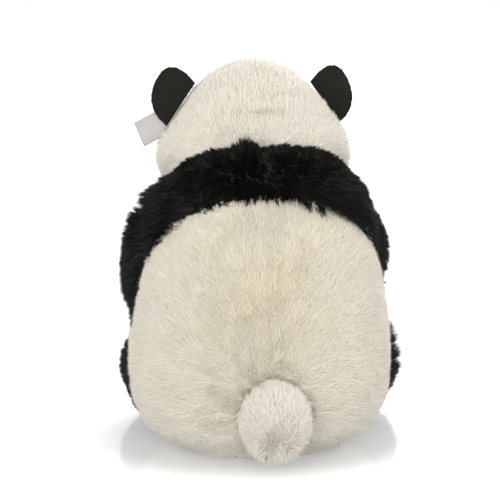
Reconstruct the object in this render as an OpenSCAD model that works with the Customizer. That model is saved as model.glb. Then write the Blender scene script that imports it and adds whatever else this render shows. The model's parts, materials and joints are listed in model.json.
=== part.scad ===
// Seated plush panda: sewn fur panels over loose fibre filling. The head, arms, legs, ears and
// pompom tail are separate stuffed pieces that pivot in soft round seats.
// Frame: +Z up, the face looks along -Y, and the origin is the middle of the flat seat.
// Left and right are the panda's own, so the left side is +X.

/* [Body] */
// Half width of the torso at its widest
torso_half_w = 126; // [110:1:145]
// Depth of the back behind the torso's axis
back_d = 119; // [100:1:135]
// Depth of the belly in front of the torso's axis
belly_d = 110; // [95:1:125]
// Height of the torso to the top of the shoulder hump
torso_h = 316; // [290:1:340]
// Thickness of the fur fabric, backing and dense pile together
skin_t = 6; // [4:0.5:8]

/* [Head] */
// Radius of the head at its widest
head_r = 90; // [80:1:100]
// How far the middle of the head sits below the top of the torso
head_sink = 30; // [20:1:40]
// How far the middle of the head sits in front of the torso's axis
head_forward = 46; // [38:1:56]
// Height of the crown above the middle of the head
crown_h = 92; // [80:1:102]
// Radius of the muzzle
muzzle_r = 35; // [28:1:40]
// How far the muzzle stands out of the face
muzzle_d = 20; // [12:1:26]
// Diameter of the round eyes
eye_d = 17; // [12:1:22]

/* [Ears] */
// Length of the seam that an ear hangs on
ear_seam = 52; // [44:1:60]
// Height of an ear from its seam to its rim
ear_h = 34; // [26:1:42]
// Thickness of one layer of the ear's suede
suede_t = 2; // [1.5:0.25:3]
// Width of the sewn-in label
label_w = 26; // [18:1:32]
// Length of the folded label from its seam to its fold
label_l = 36; // [24:1:44]

/* [Limbs] */
// Radius of the arm at the shoulder
arm_r = 34; // [28:1:37]
// Radius of the paw
paw_r = 29; // [24:1:33]
// Radius of the leg at the hip
leg_r = 46; // [40:1:48]
// Length of the leg from the hip to the sole
leg_l = 102; // [90:1:120]
// Outward splay of the left leg at rest, in degrees
left_splay = 2; // [0:1:30]
// Outward splay of the right leg at rest, in degrees
right_splay = 26; // [0:1:30]
// Radius of the pompom tail
tail_r = 34; // [28:1:40]

/* [Fits] */
// Gap between a stuffed piece and the seat it turns in
seat_gap = 0.6; // [0.4:0.1:1.2]
// Gap between the filling and the skin round it
fill_gap = 0.4; // [0.3:0.1:0.8]
// How far a leg swings each way from rest, in degrees
leg_swing = 8; // [5:1:10]
// How far an arm lifts outwards from rest, in degrees
arm_lift = 50; // [30:5:60]

/* [Hidden] */
$fn = 64;

LEFT = 1;
RIGHT = -1;
far = 400;               // reach of a cutting block, past the whole toy

// Torso outline: share of the height, share of the half width and share of the depth.
girth = [
    [0.00, 0.64, 0.62], [0.04, 0.83, 0.82], [0.11, 0.95, 0.93], [0.22, 1.00, 1.00], [0.36, 1.00, 1.00],
    [0.48, 0.97, 0.96], [0.60, 0.93, 0.90], [0.72, 0.87, 0.80], [0.80, 0.80, 0.75], [0.88, 0.67, 0.68],
    [0.95, 0.48, 0.52], [1.00, 0.14, 0.16]
];
seam_back_z = torso_h * 0.82;     // top of the pale back panels, at the back seam
seam_side_z = torso_h * 0.385;    // and at the side seams under the arms
seam_front_z = torso_h * 0.64;    // top of the pale belly, under the chin
columns = 36;
low_rows = 9;
high_rows = 5;

head_z = torso_h - head_sink;
head_c = [0, -head_forward, head_z];
neck_r = head_r * 0.38;
neck_h = 24;
thread_r = 1.2;

head_arm_gap = 4;        // least clearance between the head and the top of an arm
shoulder_y = -10;
shoulder_z = torso_h * 0.645;
// How far out a shoulder must be, squared, for the arm to clear the head.
shoulder_room = pow(head_r + arm_r + head_arm_gap, 2) - pow(head_forward + shoulder_y, 2)
    - pow(head_z - shoulder_z, 2);
shoulder = [max(torso_half_w * 0.73, sqrt(max(0, shoulder_room))), shoulder_y, shoulder_z];
elbow = [shoulder[0] + 12, -50, shoulder[2] - 44];
paw = [torso_half_w * 0.63, -belly_d * 0.89, shoulder[2] - 76];
hollow_gap = 2.5;        // gap between a resting forearm and the torso it lies in
armhole_ease = 0.45;     // extra gap round the shoulder, for the arm's flat facets
armhole_rim = 0.5;       // where the panels' armholes open out, along the upper arm
armhole_ledge = arm_r * 0.22;    // where the round seat in the filling ends
armhole_room = arm_r * 0.09;     // how much wider than the seat the armhole is past it
arm_sides = 18;
arm_rings = 8;
cap_rings = 4;

hip = [torso_half_w * 0.6, -belly_d * 0.6, leg_r + 1];
sole_edge = 14;          // rounding where the leg turns into the sole
sole_r = leg_r - sole_edge;

tail_c = [0, back_d + 4, tail_r + 20];

seam_y = -4;             // the side seams of the head, where the ears are sewn in
face_ovals = [27, -2, 24];       // turn, rise and slant of an eye patch, in degrees
patch_w = 34;
patch_h = 46;
eye_turn = 25;
eye_rise = 1;
shank_r = 2.2;
shank_l = 15;
washer_r = 8;
washer_t = 1.6;
bore_gap = 0.2;
muzzle_drop = 24;        // how far the muzzle points below level, in degrees
nose_lift = 30;          // how far up the muzzle's dome the nose sits
washer_sink = 1.8;       // room that the muzzle's inner curve takes from a flat washer
muzzle_seat = sqrt(head_r * head_r - muzzle_r * muzzle_r);
muzzle_h = head_r - muzzle_seat + muzzle_d;

ear_rise = crown_h * 0.52;       // height of an ear's seam above the middle of the head
ear_heel = [ear_h * 0.88, -ear_seam * 0.46];    // bends of the rim below and above its widest point
ear_side = [ear_h, ear_seam * 0.1];
ear_tip = [ear_h * 1.13, ear_seam * 0.74];
ear_cup = 8;             // how far the ear's top curves forward
ear_corner = 0.5;        // how far out of the fold line the rim starts
ear_stand = 0.7;         // clearance between an ear's fold line and the head
label_t = 1;
label_gap = 0.8;         // between the label and the ear that it is sewn to
label_stand = 3;         // clearance between the label's end and the head
label_droop = 44;        // angle between the label and the square to its seam
label_rise = 16;
label_forward = 32;      // how far the label stands forward of the ear, in degrees

// ---- curves ----
function mix(a, b, t) = a + (b - a) * t;
function unit(v) = v / norm(v);
// The girth rows' value in column c at share h of the height, smooth through every row.
function shape_at(h, c, i = 0) =
    i >= len(girth) - 1 ? girth[i][c] :
    h > girth[i + 1][0] ? shape_at(h, c, i + 1) :
    smooth(girth[max(i - 1, 0)], girth[i], girth[i + 1], girth[min(i + 2, len(girth) - 1)], h, c);
function smooth(p, a, b, n, h, c) =
    let (w = b[0] - a[0], t = (h - a[0]) / w, sa = slope(p, b, c) * w, sb = slope(a, n, c) * w)
    (2*t*t*t - 3*t*t + 1) * a[c] + (t*t*t - 2*t*t + t) * sa + (3*t*t - 2*t*t*t) * b[c] + (t*t*t - t*t) * sb;
function slope(a, b, c) = (b[c] - a[c]) / (b[0] - a[0]);
function bezier(a, b, c, t) = mix(mix(a, b, t), mix(b, c, t), t);

// ---- torso surface ----
function seam_z(u) = sin(u) > 0
    ? mix(seam_side_z, seam_back_z, pow(sin(u), 0.45))
    : mix(seam_side_z, seam_front_z, pow(-sin(u), 0.8));
// Height of row t: 0 is the seat, 1 the seam under the yoke, 2 the top.
function row_z(u, t, inset) = t <= 1
    ? mix(inset, seam_z(u), t)
    : mix(seam_z(u), torso_h - inset, t - 1);
// Distance to the near side of the forearm at height z, along a flat direction.
function arm_reach(z, dir, margin) = min([for (k = [2:arm_rings])
    let (t = k / arm_rings, c = bezier(shoulder, elbow, paw, t), r = arm_radius(t) + margin,
         flat_r2 = r * r - (z - c[2]) * (z - c[2]),
         along = abs(dir[0]) * c[0] + dir[1] * c[1],
         off2 = c[0] * c[0] + c[1] * c[1] - along * along)
    flat_r2 > off2 && along > 0 ? along - sqrt(flat_r2 - off2) : far]);
function arm_radius(t) = mix(arm_r, paw_r, t);
function torso_point(u, t, inset) =
    let (z = row_z(u, t, inset), h = (z - inset) / (torso_h - 2 * inset),
         x = (torso_half_w * shape_at(h, 1) - inset) * cos(u),
         y = ((sin(u) > 0 ? back_d : belly_d) * shape_at(h, 2) - inset) * sin(u),
         full = norm([x, y]), dir = [x, y] / full,
         reach = min(full, arm_reach(z, dir, hollow_gap + inset * 1.3)))
    [dir[0] * reach, dir[1] * reach, z];

// A closed solid between two grids of points of the same size.
module grid_solid(outer, inner) {
    rows = len(outer);
    cols = len(outer[0]);
    function at(side, i, j) = (side * rows + i) * cols + j;
    function sheet(side, i, j) = side == 0
        ? [[at(0,i,j), at(0,i+1,j), at(0,i+1,j+1)], [at(0,i,j), at(0,i+1,j+1), at(0,i,j+1)]]
        : [[at(1,i,j), at(1,i+1,j+1), at(1,i+1,j)], [at(1,i,j), at(1,i,j+1), at(1,i+1,j+1)]];
    function wall(a, b, c, d) = [[a, b, c], [a, c, d]];
    faces = [
        for (i = [0:rows-2], j = [0:cols-2], side = [0, 1]) each sheet(side, i, j),
        for (j = [0:cols-2]) each wall(at(0,0,j+1), at(1,0,j+1), at(1,0,j), at(0,0,j)),
        for (j = [0:cols-2]) each wall(at(1,rows-1,j), at(1,rows-1,j+1), at(0,rows-1,j+1), at(0,rows-1,j)),
        for (i = [0:rows-2]) each wall(at(1,i,0), at(1,i+1,0), at(0,i+1,0), at(0,i,0)),
        for (i = [0:rows-2]) each wall(at(0,i+1,cols-1), at(1,i+1,cols-1), at(1,i,cols-1), at(0,i,cols-1))
    ];
    polyhedron([for (grid = [outer, inner], row = grid, point = row) point], faces);
}
// A closed tube through rings of points, with a flat fan at each end.
module ring_solid(rings) {
    n = len(rings[0]);
    last = len(rings) - 1;
    faces = [
        [for (j = [0:n-1]) j],
        [for (j = [n-1:-1:0]) last * n + j],
        for (i = [0:last-1], j = [0:n-1]) each let (k = (j + 1) % n)
            [[i*n + j, (i+1)*n + j, (i+1)*n + k], [i*n + j, (i+1)*n + k, i*n + k]]
    ];
    polyhedron([for (ring = rings, point = ring) point], faces);
}

function column_u(j) = 360 * j / columns;
function torso_grid(u_from, u_to, rows, inset) =
    [for (t = rows) [for (j = [u_from * columns / 360 : u_to * columns / 360])
        torso_point(column_u(j), t, inset)]];
low = [for (i = [0:low_rows]) i / low_rows];
high = [for (i = [0:high_rows]) 1 + i / high_rows];

// Everything that the torso makes room for. The arms' round seats reach as far as the ledge.
module seats(ledge) {
    translate(head_c) head_cup();
    translate(tail_c) sphere(tail_r + seat_gap);
    for (side = [LEFT, RIGHT]) {
        at_shoulder(side) sphere(arm_r + seat_gap + armhole_ease);
        // The second opening is a little wider, so that the two rims don't meet in one point.
        for (share = [0, 1]) at_shoulder(side, share * arm_lift)
            limb_path(arm_r + armhole_room + share, ledge, arm_r * 1.2);
        at_hip(side) sphere(leg_r + seat_gap);
        at_hip(side)
            limb_path(leg_r + (belly_d + hip[1]) * tan(leg_swing), -leg_r * sin(leg_swing) / 2, leg_l);
    }
}
// The round cup under the head, with a pocket in its floor for the neck's wad.
module head_cup() {
    r = head_r + seat_gap;
    pocket_r = neck_r + seat_gap;
    rotate_extrude() intersection() {
        union() {
            circle(r);
            translate([0, -head_r - neck_h - seat_gap]) square([pocket_r, neck_h + head_r]);
        }
        translate([0, -far]) square([far, 2 * far]);
    }
}
function on(side, p) = [side * p[0], p[1], p[2]];
function splay(side) = side == LEFT ? left_splay : right_splay;
// The opening that a limb's straight part swings in, between two distances from its pivot.
module limb_path(r, from, to) {
    translate([0, 0, from]) cylinder(r = r + seat_gap, h = to - from);
}
// The hollow that each forearm presses into the torso, to trim the panels under it.
module forearm_hollow(side) {
    arm_side(side) for (t = [0.16:0.14:1]) translate(bezier(shoulder, elbow, paw, t))
        sphere(arm_radius(t) + hollow_gap - 0.5);
}
module torso_panel(u_from, u_to, rows) {
    difference() {
        grid_solid(torso_grid(u_from, u_to, rows, 0), torso_grid(u_from, u_to, rows, skin_t));
        seats(armhole_rim);
        if (u_from >= 180 || rows == high) for (side = [LEFT, RIGHT]) forearm_hollow(side);
    }
}
module back_left() color("ivory") torso_panel(0, 90, low);
module back_right() color("ivory") torso_panel(90, 180, low);
module belly() color("ivory") torso_panel(180, 360, low);
module yoke_back() color("#2b2a28") torso_panel(0, 180, high);
module yoke_front() color("#2b2a28") torso_panel(180, 360, high);
module base() color("ivory") {
    linear_extrude(skin_t) polygon([for (j = [0:columns-1])
        let (p = torso_point(column_u(j), 0, skin_t)) [p[0], p[1]]]);
}
module torso_stuffing() color("whitesmoke") {
    inset = skin_t + fill_gap;
    difference() {
        ring_solid([for (t = concat(low, [for (i = [1:high_rows]) high[i]]))
            [for (j = [0:columns-1]) torso_point(column_u(j), t, inset)]]);
        seats(armhole_ledge);
    }
}

// ---- neck ----
neck_floor = head_z - head_r - neck_h;
neck_rim = head_z - sqrt(pow(head_r + seat_gap, 2) - neck_r * neck_r);
module neck_at(z) {
    translate([0, -head_forward, z]) children();
}
module neck_groove(r) {
    neck_at(neck_rim - 5) rotate_extrude() translate([neck_r - thread_r, 0]) circle(r);
}
module neck_stuffing() color("whitesmoke") {
    difference() {
        neck_at(neck_floor) cylinder(r = neck_r, h = neck_rim - neck_floor);
        translate(head_c) sphere(head_r + seat_gap);
        neck_groove(thread_r + 0.1);
    }
}
module neck_thread() color("ivory") neck_groove(thread_r);

// ---- head ----
// Distance from the head's upright axis to its surface, at height z over its middle.
function head_radius(z, inset = 0) = z > 0
    ? (head_r - inset) * sqrt(max(0, 1 - pow(z / (crown_h - inset), 1.5)))
    : sqrt(max(0, pow(head_r - inset, 2) - z * z));
function head_lean(z) = atan((head_radius(z - 1) - head_radius(z + 1)) / 2);
function head_profile(inset) = concat(
    [for (a = [-90:6:0]) (head_r - inset) * [cos(a), sin(a)]],
    [for (a = [7.5:7.5:90]) let (z = (crown_h - inset) * sin(a)) [head_radius(z, inset), z]]
);
module head_form(inset) {
    translate(head_c) rotate_extrude() polygon(head_profile(inset));
}
module head_shell() {
    difference() {
        head_form(0);
        head_form(skin_t);
    }
}
// A quarter block round the head: one side of the middle seam, behind or before the side seams.
module head_quarter(side, back) {
    translate([side == LEFT ? 0 : -far, back ? head_c[1] + seam_y : head_c[1] + seam_y - far, 0])
        cube([far, far, far * 2]);
}
module head_back(side) color("ivory") {
    intersection() {
        head_shell();
        head_quarter(side, true);
    }
}
// Turns children that point up so that they point out of the face.
module facing(turn, rise, slant = 0) {
    translate(head_c) rotate([90 - rise, 0, turn]) rotate([0, 0, slant]) children();
}
module patch_block(side) {
    facing(side * face_ovals[0], face_ovals[1], side * face_ovals[2])
        linear_extrude(far) polygon([for (a = [0:12:348]) [patch_w / 2 * cos(a), patch_h / 2 * sin(a)]]);
}
module face(side) color("ivory") {
    difference() {
        intersection() {
            head_shell();
            head_quarter(side, false);
        }
        patch_block(side);
    }
}
module eye_patch(side) color("#2b2a28") {
    difference() {
        intersection() {
            head_shell();
            patch_block(side);
        }
        facing(side * eye_turn, eye_rise) cylinder(r = shank_r + 2 * bore_gap, h = far);
    }
}
module head_stuffing() color("whitesmoke") {
    difference() {
        head_form(skin_t + fill_gap);
        for (side = [LEFT, RIGHT]) facing(side * eye_turn, eye_rise)
            translate([0, 0, head_r - shank_l - 2]) cylinder(r = washer_r + 1, h = far);
    }
}

// ---- eyes and nose: turned plastic with a ribbed shank, held by a washer inside ----
module shank(l) {
    translate([0, 0, -l]) cylinder(r = shank_r, h = l);
    for (i = [1:3]) translate([0, 0, -l + i * 1.5]) cylinder(r = shank_r + bore_gap / 2, h = 0.6);
}
module washer() {
    difference() {
        union() {
            cylinder(r = washer_r, h = washer_t);
            translate([0, 0, -1.2]) cylinder(r = shank_r + 2, h = 1.2);
        }
        translate([0, 0, -2]) cylinder(r = shank_r + bore_gap, h = 4 + washer_t);
    }
}
module eye(side) color("#1a1210") {
    dome_h = eye_d * 0.34;
    dome_r = (pow(eye_d / 2, 2) + dome_h * dome_h) / (2 * dome_h);
    facing(side * eye_turn, eye_rise) translate([0, 0, head_r + 0.2]) {
        intersection() {
            translate([0, 0, 0.8 + dome_h - dome_r]) sphere(dome_r);
            cylinder(r = eye_d, h = eye_d);
        }
        shank(shank_l);
    }
}
module eye_washer(side) color("white") {
    inner_r = head_r - skin_t;
    facing(side * eye_turn, eye_rise)
        translate([0, 0, sqrt(inner_r * inner_r - washer_r * washer_r) - 1.4 - washer_t]) washer();
}
module muzzle_form(inset) {
    a = muzzle_r - inset;
    b = muzzle_h - inset;
    facing(0, -muzzle_drop) translate([0, 0, muzzle_seat])
        rotate_extrude() polygon(concat([[0, -5]], [[a, -5]], [for (t = [0:9:90]) [a * cos(t), b * sin(t)]]));
}
// Turns children to the nose's axis, square to the muzzle's surface and some depth under it.
module at_nose(depth) {
    tilt = atan2(sin(nose_lift) / muzzle_r, cos(nose_lift) / muzzle_h);
    facing(0, -muzzle_drop)
        translate([0, muzzle_r * sin(nose_lift), muzzle_seat + muzzle_h * cos(nose_lift)])
        rotate([-tilt, 0, 0]) translate([0, 0, -depth]) children();
}
// The face that the muzzle is sewn on.
module head_face() {
    translate(head_c) sphere(head_r + 0.4, $fn = 120);
}
module muzzle() color("ivory") {
    difference() {
        muzzle_form(0);
        muzzle_form(skin_t);
        head_face();
        at_nose(shank_l) cylinder(r = shank_r + 2 * bore_gap, h = far);
    }
}
module muzzle_stuffing() color("whitesmoke") {
    difference() {
        muzzle_form(skin_t + fill_gap);
        head_face();
        at_nose(shank_l) cylinder(r = washer_r + 1, h = far);
    }
}
module nose() color("#1a1210") {
    corner = 4.5;
    at_nose(-0.2) {
        intersection() {
            hull() for (p = [[-6, 3], [6, 3], [0, -4]]) translate([p[0], p[1], 1]) sphere(corner, $fn = 24);
            translate([-20, -20, 0]) cube(40);
        }
        shank(12);
    }
}
module nose_washer() color("white") {
    at_nose(skin_t + washer_sink + washer_t) washer();
}

// ---- ears and label ----
// Stands children on a side seam of the head, with x out of the head and z up along the seam.
module on_seam(side, rise, out) {
    x = sqrt(pow(head_radius(rise), 2) - seam_y * seam_y);
    mirror([side == LEFT ? 0 : 1, 0, 0]) translate([x, head_c[1] + seam_y, head_z + rise])
        rotate([0, -head_lean(rise), 0]) translate([out, 0, 0]) children();
}
// The rim from its lower corner at j = 0, past its widest point, to its upper corner at j = 1.
function ear_rim(j) = j < 0.5
    ? bezier([ear_corner, -ear_seam / 2], ear_heel, ear_side, 2 * j)
    : bezier(ear_side, ear_tip, [ear_corner, ear_seam / 2], 2 * j - 1);
function ear_point(i, j, y) =
    let (p = mix([0, ear_seam * (j - 0.5)], ear_rim(j), i))
    [p[0], y - ear_cup * pow(p[0] / ear_h, 2), p[1]];
function ear_grid(y) = [for (i = [0:5]) [for (j = [0:10]) ear_point(i / 5, j / 10, y)]];
module ear(side, layer) color("#2e2e2b") {
    on_seam(side, ear_rise, ear_stand)
        grid_solid(ear_grid(layer * suede_t + suede_t), ear_grid(layer * suede_t));
}
module label() color("gainsboro") {
    along = [cos(label_droop), -sin(label_droop)];
    across = [sin(label_droop), cos(label_droop)];
    short = along * (label_l - label_w * tan(label_droop) / 2);
    on_seam(LEFT, label_rise, label_stand) translate([0, -suede_t - label_gap, 0])
        rotate([0, 0, -label_forward]) rotate([90, 0, 0]) linear_extrude(label_t)
            polygon([[0, 0], short, short + across * label_w, [0, label_w / cos(label_droop)]]);
}

// ---- arms ----
// A ring of points round centre c, square to direction d.
function ring(c, d, r) =
    let (a = unit(cross(d, [1, 0, 0])), b = cross(d, a))
    [for (j = [0:arm_sides-1]) let (u = 360 * j / arm_sides) c + r * (cos(u) * a + sin(u) * b)];
function arm_shape(inset) =
    let (d0 = unit(elbow - shoulder), d1 = unit(paw - elbow), r0 = arm_r - inset, r1 = paw_r - inset,
         caps = [for (k = [1:cap_rings]) 82 * k / cap_rings])
    concat(
        [for (k = [cap_rings-1:-1:0]) ring(shoulder - d0 * r0 * sin(caps[k]), d0, r0 * cos(caps[k]))],
        [for (k = [0:arm_rings]) let (t = k / arm_rings)
            ring(bezier(shoulder, elbow, paw, t), unit(mix(d0, d1, t)), arm_radius(t) - inset)],
        [for (k = [0:cap_rings-1]) ring(paw + d1 * r1 * sin(caps[k]), d1, r1 * cos(caps[k]))]
    );
module arm_side(side) {
    mirror([side == LEFT ? 0 : 1, 0, 0]) children();
}
// Turns children that point up so that they point down the upper arm.
module at_shoulder(side, lift = 0) {
    d = elbow - shoulder;
    arm_side(side) translate(shoulder) rotate([0, -lift, 0])
        rotate([0, acos(d[2] / norm(d)), atan2(d[1], d[0])]) children();
}
module arm_skin(side) color("#2b2a28") {
    arm_side(side) difference() {
        ring_solid(arm_shape(0));
        ring_solid(arm_shape(skin_t));
    }
}
module arm_stuffing(side) color("whitesmoke") {
    arm_side(side) ring_solid(arm_shape(skin_t + fill_gap));
}

// ---- legs ----
module at_hip(side) {
    translate(on(side, hip)) rotate([90, 0, side * splay(side)]) children();
}
module leg_form(inset) {
    r = leg_r - inset;
    end = leg_l - inset;
    edge = sole_edge - inset;
    waist = [[r - 2, leg_l * 0.35], [r - 2, leg_l * 0.55], [r - 0.5, leg_l * 0.75]];
    rotate_extrude() polygon(concat(
        [for (a = [-90:6:0]) r * [cos(a), sin(a)]], waist,
        [for (a = [0:15:90]) [r - edge + edge * cos(a), end - edge + edge * sin(a)]], [[0, end]]
    ));
}
module leg_skin(side) color("#2b2a28") {
    at_hip(side) difference() {
        leg_form(0);
        leg_form(skin_t);
        translate([0, 0, leg_l - skin_t - 1]) cylinder(r = sole_r, h = skin_t + 2);
    }
}
module leg_sole(side) color("#2b2a28") {
    at_hip(side) translate([0, 0, leg_l - skin_t]) cylinder(r = sole_r, h = skin_t);
}
module leg_stuffing(side) color("whitesmoke") {
    at_hip(side) leg_form(skin_t + fill_gap);
}

// ---- tail ----
module tail_skin() color("white") {
    translate(tail_c) difference() {
        sphere(tail_r);
        sphere(tail_r - skin_t);
    }
}
module tail_stuffing() color("whitesmoke") {
    translate(tail_c) sphere(tail_r - skin_t - fill_gap);
}

back_left();
back_right();
belly();
base();
yoke_back();
yoke_front();
torso_stuffing();
neck_stuffing();
neck_thread();
head_back(LEFT);  // head_back_left
head_back(RIGHT);  // head_back_right
face(LEFT);  // face_left
face(RIGHT);  // face_right
eye_patch(LEFT);  // eye_patch_left
eye_patch(RIGHT);  // eye_patch_right
muzzle();
muzzle_stuffing();
nose();
nose_washer();
head_stuffing();
eye(LEFT);  // eye_left
eye(RIGHT);  // eye_right
eye_washer(LEFT);  // eye_washer_left
eye_washer(RIGHT);  // eye_washer_right
ear(LEFT, 0);  // ear_left_back
ear(LEFT, -1);  // ear_left_front
ear(RIGHT, 0);  // ear_right_back
ear(RIGHT, -1);  // ear_right_front
label();
arm_skin(LEFT);  // arm_left_skin
arm_stuffing(LEFT);  // arm_left_stuffing
arm_skin(RIGHT);  // arm_right_skin
arm_stuffing(RIGHT);  // arm_right_stuffing
leg_skin(LEFT);  // leg_left_skin
leg_sole(LEFT);  // leg_left_sole
leg_stuffing(LEFT);  // leg_left_stuffing
leg_skin(RIGHT);  // leg_right_skin
leg_sole(RIGHT);  // leg_right_sole
leg_stuffing(RIGHT);  // leg_right_stuffing
tail_skin();
tail_stuffing();
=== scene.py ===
"""Looks of the seated plush panda: padded forms, fur pile, suede ears, label and plastic eyes.

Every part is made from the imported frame, in metres, +Z up, with the face towards -Y.
"""
import json
import math

import bmesh
import bpy
import numpy as np
from bpy.props import FloatProperty, FloatVectorProperty, IntProperty, PointerProperty
from mathutils import Matrix, Vector
from mathutils.bvhtree import BVHTree
from mathutils.kdtree import KDTree


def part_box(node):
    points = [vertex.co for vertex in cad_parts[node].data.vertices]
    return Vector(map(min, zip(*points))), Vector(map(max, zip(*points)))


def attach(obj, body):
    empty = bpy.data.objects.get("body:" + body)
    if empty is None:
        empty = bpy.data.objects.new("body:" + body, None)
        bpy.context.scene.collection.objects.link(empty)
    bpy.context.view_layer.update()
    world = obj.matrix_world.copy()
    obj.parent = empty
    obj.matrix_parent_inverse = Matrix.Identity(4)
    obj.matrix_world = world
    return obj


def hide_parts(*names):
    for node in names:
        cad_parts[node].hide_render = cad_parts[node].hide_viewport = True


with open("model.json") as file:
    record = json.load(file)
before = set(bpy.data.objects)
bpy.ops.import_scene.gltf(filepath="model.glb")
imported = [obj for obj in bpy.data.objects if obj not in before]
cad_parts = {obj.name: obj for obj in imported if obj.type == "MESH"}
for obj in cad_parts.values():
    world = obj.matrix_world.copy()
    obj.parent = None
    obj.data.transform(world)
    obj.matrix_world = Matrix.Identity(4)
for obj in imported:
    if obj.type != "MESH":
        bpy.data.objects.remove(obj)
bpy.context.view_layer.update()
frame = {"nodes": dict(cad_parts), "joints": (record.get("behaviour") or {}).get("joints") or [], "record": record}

bl_info = {
    "name": "Plush Panda",
    "version": (1, 0, 0),
    "blender": (4, 5, 0),
    "location": "View3D > Sidebar > Plush Panda",
    "description": "Padded forms, fur, ears, label and eyes of a seated plush panda",
    "category": "Object",
}


def middle_of(node):
    low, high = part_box(node)
    return (Vector(low) + Vector(high)) / 2


UV_MAP = "OFBake"
HEAD_MIDDLE, TAIL_MIDDLE, NOSE_MIDDLE = (middle_of(node) for node in ("head_stuffing", "tail_skin", "nose"))
CROWN_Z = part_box("head_back_left")[1][2]
JOINTS = {joint["name"]: joint for joint in frame["joints"]}

TORSO_PANELS = ["back_left", "back_right", "belly", "base", "yoke_back", "yoke_front"]
HEAD_PANELS = [
    "head_back_left", "head_back_right", "face_left", "face_right", "eye_patch_left", "eye_patch_right",
]
PALE_PILE = {"Soft Shading": 0.95, "Swirl": 1.2, "Swirl Scale": 48.0, "Mess": 0.3, "Gather": 0.4,
             "Clump Spacing": 0.008, "Width": 0.0008}
DARK_PILE = {"Soft Shading": 0.6, "Swirl": 1.1, "Swirl Scale": 40.0, "Mess": 0.35, "Gather": 0.75}
YOKE = ["yoke_back", "yoke_front"]
DARK = {*YOKE, "eye_patch_left", "eye_patch_right"}
ARM_SKINS = ["arm_left_skin", "arm_right_skin"]
LEG_SKINS = ["leg_left_skin", "leg_right_skin"]


# ---- settings ----
class PandaForms(bpy.types.PropertyGroup):
    """Sizes of the stuffed forms."""
    voxel: FloatProperty(
        name="Fabric grid", description="Size of one face of the fabric", default=0.006, unit="LENGTH")
    swell: FloatProperty(
        name="Swell", description="How far the filling may push a panel out", default=0.004, unit="LENGTH")
    pressure: FloatProperty(
        name="Pressure", description="How hard the filling pushes on the fabric", default=4.0)
    channel: FloatProperty(
        name="Seam channel", description="Depth of the channel along a seam", default=0.0025, unit="LENGTH")
    backing: FloatProperty(
        name="Backing", description="Thickness of the knitted backing of the fur", default=0.0015,
        unit="LENGTH")
    crease: FloatProperty(
        name="Neck creases", description="Depth of the soft folds at the back of the head",
        default=0.0025, unit="LENGTH")


class PandaPile(bpy.types.PropertyGroup):
    """Sizes of the fur."""
    density: FloatProperty(
        name="Density", description="Tufts on a square metre of fabric", default=9.6e5)
    length: FloatProperty(
        name="Length", description="Length of the longest pile", default=0.012, unit="LENGTH")
    width: FloatProperty(
        name="Tuft width", description="Half width of a tuft at its root", default=0.00055, unit="LENGTH")
    clump: FloatProperty(
        name="Clump spacing", description="Distance between the middles of clumps", default=0.006,
        unit="LENGTH")
    gather: FloatProperty(
        name="Gather", description="How strongly tufts lean to the tip of their clump", default=0.55)
    seed: IntProperty(name="Seed", description="Seed of everything random in the pile", default=7)


class PandaColours(bpy.types.PropertyGroup):
    """Colours of the fabrics."""
    cream: FloatVectorProperty(
        name="Cream", description="Warm colour of the pale fur", subtype="COLOR", size=3,
        default=(0.97, 0.90, 0.73))
    ivory: FloatVectorProperty(
        name="Ivory", description="Cool colour of the pale fur", subtype="COLOR", size=3,
        default=(0.93, 0.895, 0.815))
    snow: FloatVectorProperty(
        name="Snow", description="Colour of the tail's pile", subtype="COLOR", size=3,
        default=(0.93, 0.875, 0.76))
    soot: FloatVectorProperty(
        name="Soot", description="Colour of the dark fur", subtype="COLOR", size=3,
        default=(0.0028, 0.0027, 0.0018))
    suede: FloatVectorProperty(
        name="Suede", description="Colour of the ears", subtype="COLOR", size=3,
        default=(0.0105, 0.0105, 0.0078))


class PandaStage(bpy.types.PropertyGroup):
    """Camera and light."""
    azimuth: FloatProperty(
        name="Azimuth", description="Turn of the camera round the toy", subtype="ANGLE",
        default=math.radians(173))
    elevation: FloatProperty(
        name="Elevation", description="Rise of the camera", subtype="ANGLE", default=math.radians(10.5))
    distance: FloatProperty(
        name="Distance", description="Distance of the camera from the toy", default=2.1, unit="LENGTH")
    lens: FloatProperty(name="Lens", description="Focal length in millimetres", default=151.0)
    across: FloatProperty(
        name="Aim across", description="Aim to the left of the seat's middle", default=0.009, unit="LENGTH")
    up: FloatProperty(name="Aim up", description="Aim above the seat", default=0.192, unit="LENGTH")
    key: FloatProperty(name="Key light", description="Power of the key light in watts", default=58.0)
    fill: FloatProperty(name="Fill light", description="Power of the fill light in watts", default=12.0)
    world: FloatProperty(name="World light", description="Strength of the white studio", default=0.72)


def settings(name):
    return getattr(bpy.context.scene, "panda_" + name)


# ---- meshes ----
def place(name, data):
    obj = bpy.data.objects.new(name, data)
    bpy.context.scene.collection.objects.link(obj)
    return obj


def discard(obj):
    mesh = obj.data
    bpy.data.objects.remove(obj)
    if mesh.users == 0:
        bpy.data.meshes.remove(mesh)


def evaluated_mesh(obj):
    return bpy.data.meshes.new_from_object(obj.evaluated_get(bpy.context.evaluated_depsgraph_get()))


def settle(obj):
    """Makes what the modifiers show the object's own mesh."""
    shown = evaluated_mesh(obj)
    old = obj.data
    obj.modifiers.clear()
    obj.data = shown
    bpy.data.meshes.remove(old)
    return obj


def mesh_from(work, name):
    """A mesh of this name from a bmesh, which is freed."""
    mesh = bpy.data.meshes.new(name)
    work.to_mesh(mesh)
    work.free()
    return mesh


def joined_nodes(names):
    """One welded mesh of copies of these CAD nodes."""
    work = bmesh.new()
    for name in names:
        work.from_mesh(frame["nodes"][name].data)
    bmesh.ops.remove_doubles(work, verts=work.verts, dist=1e-6)
    return mesh_from(work, names[0])


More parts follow.
